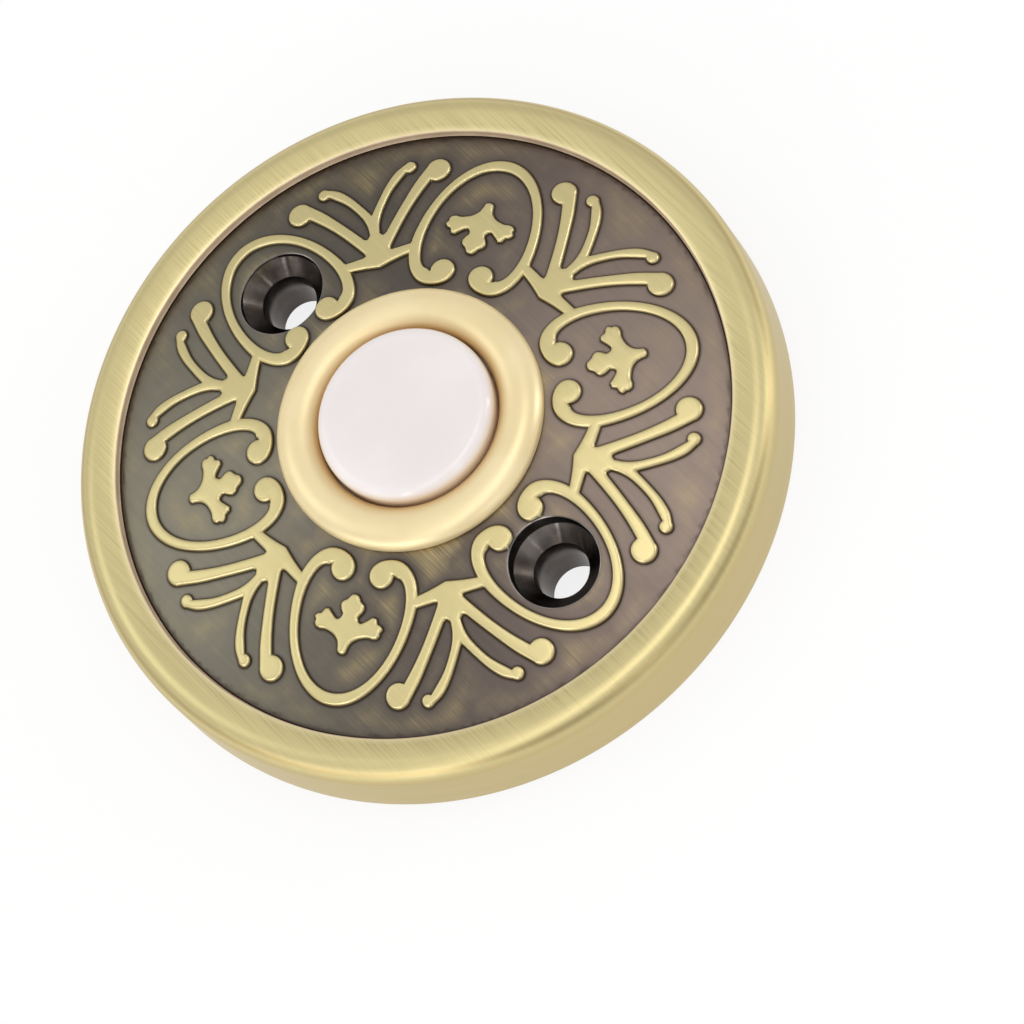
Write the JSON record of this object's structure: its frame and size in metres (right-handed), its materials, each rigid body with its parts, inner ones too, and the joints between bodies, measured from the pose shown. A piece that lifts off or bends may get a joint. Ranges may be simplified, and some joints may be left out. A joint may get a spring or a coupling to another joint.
{
  "type": "doorbell push button",
  "caption": "Round brass wall plate with raised scrollwork, a gold ring and a sprung white push button over a bell switch.",
  "frame": {"origin": "centre of the plate's back face, on the wall", "axes": "+Z out of the wall towards the user, Y along the line through the two screw holes"},
  "size_m": [0.0636, 0.0636, 0.0114],
  "materials": {
    "antique_brass": "brushed antique",
    "satin_gold": "satin gold plating",
    "white_plastic": "satin moulded",
    "black_plastic": "matte moulded",
    "contact_brass": "bare stamped",
    "plated_steel": "zinc plated",
    "spring_steel": "bright drawn"
  },
  "bodies": {
    "case": {"face_plate": "antique_brass", "button_ring": "satin_gold", "switch_base": "black_plastic", "left_contact": "contact_brass", "right_contact": "contact_brass", "left_terminal_screw": "plated_steel", "right_terminal_screw": "plated_steel", "left_wire_washer": "plated_steel", "right_wire_washer": "plated_steel", "retaining_clip": "spring_steel", "return_spring": "spring_steel"},
    "button": {"push_button": "white_plastic", "contact_disc": "contact_brass"}
  },
  "joints": [
    {"name": "button_press", "type": "slide", "parent": "case", "child": "button", "axis": [0, 0, -1], "range_m": [0, 0.0012], "stiffness_N_per_m": 1200, "springref_m": -0.0008, "deforming": ["return_spring"]}
  ]
}
